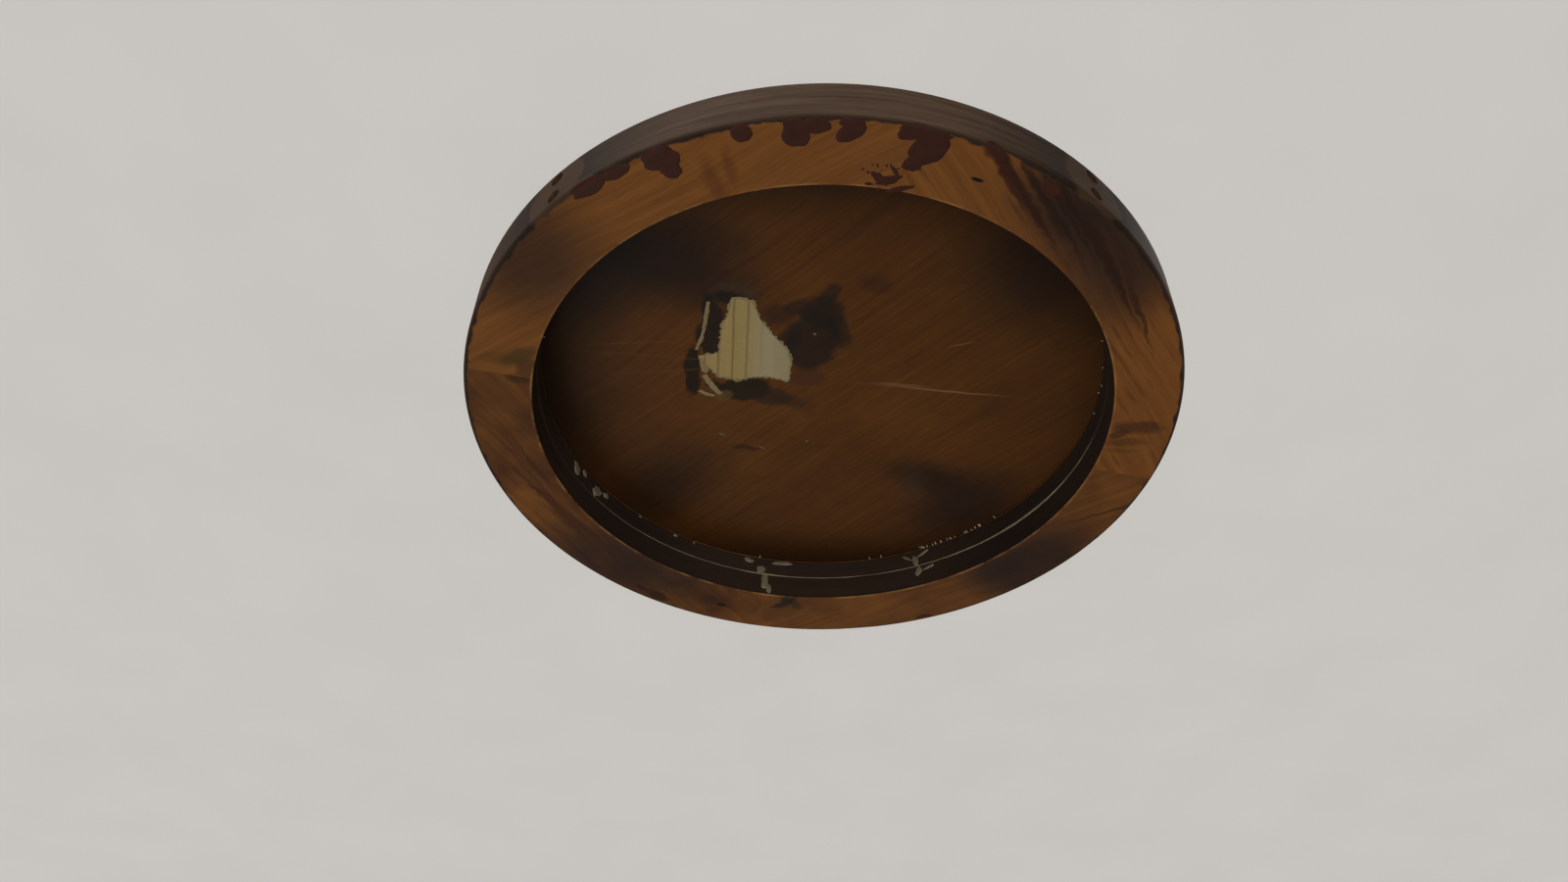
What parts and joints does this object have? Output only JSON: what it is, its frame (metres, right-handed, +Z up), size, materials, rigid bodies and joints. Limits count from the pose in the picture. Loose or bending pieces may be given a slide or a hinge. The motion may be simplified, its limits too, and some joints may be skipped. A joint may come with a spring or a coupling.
{
  "type": "chair seat pad",
  "caption": "Round padded chair seat: an upholstered board that lifts off a glued wooden ring, with dowel holes for legs in the ring's wall.",
  "frame": {"origin": "centre of the ring's bottom face, on the surface that the seat would lie on", "axes": "+Z up, through the middle of the ring and the pad; the torn paper label is on the -X, -Y side; leg dowel holes at 42, 138, 229 and 311 degrees from +X, counted towards +Y"},
  "size_m": [0.4, 0.4, 0.0657],
  "materials": {
    "ring_wood": "raw sawn softwood under, dark stain on the walls",
    "board_plywood": "dark red-brown stain, matt",
    "peg_wood": "bare turned wood",
    "pin_steel": "bare steel",
    "tack_steel": "blued steel",
    "label_paper": "aged ribbed paper",
    "foam": "yellowed open-cell foam",
    "wadding": "matted cotton",
    "lining_calico": "unbleached plain weave",
    "cover_fabric": "coarse wool weave, matt"
  },
  "bodies": {
    "ring": {"lower_segment_1": "ring_wood", "lower_segment_2": "ring_wood", "lower_segment_3": "ring_wood", "lower_segment_4": "ring_wood", "upper_segment_1": "ring_wood", "upper_segment_2": "ring_wood", "upper_segment_3": "ring_wood", "upper_segment_4": "ring_wood", "course_pins": "pin_steel"},
    "pad": {"locating_pegs": "peg_wood", "seat_board": "board_plywood", "paper_label": "label_paper", "foam_insert": "foam", "foam_pad": "foam", "wadding": "wadding", "lining": "lining_calico", "lining_tacks": "tack_steel", "seat_cover": "cover_fabric", "cover_tacks": "tack_steel"}
  },
  "joints": [
    {"name": "pad_lift", "type": "slide", "parent": "ring", "child": "pad", "axis": [0, 0, 1], "range_m": [0, 0.06]}
  ]
}
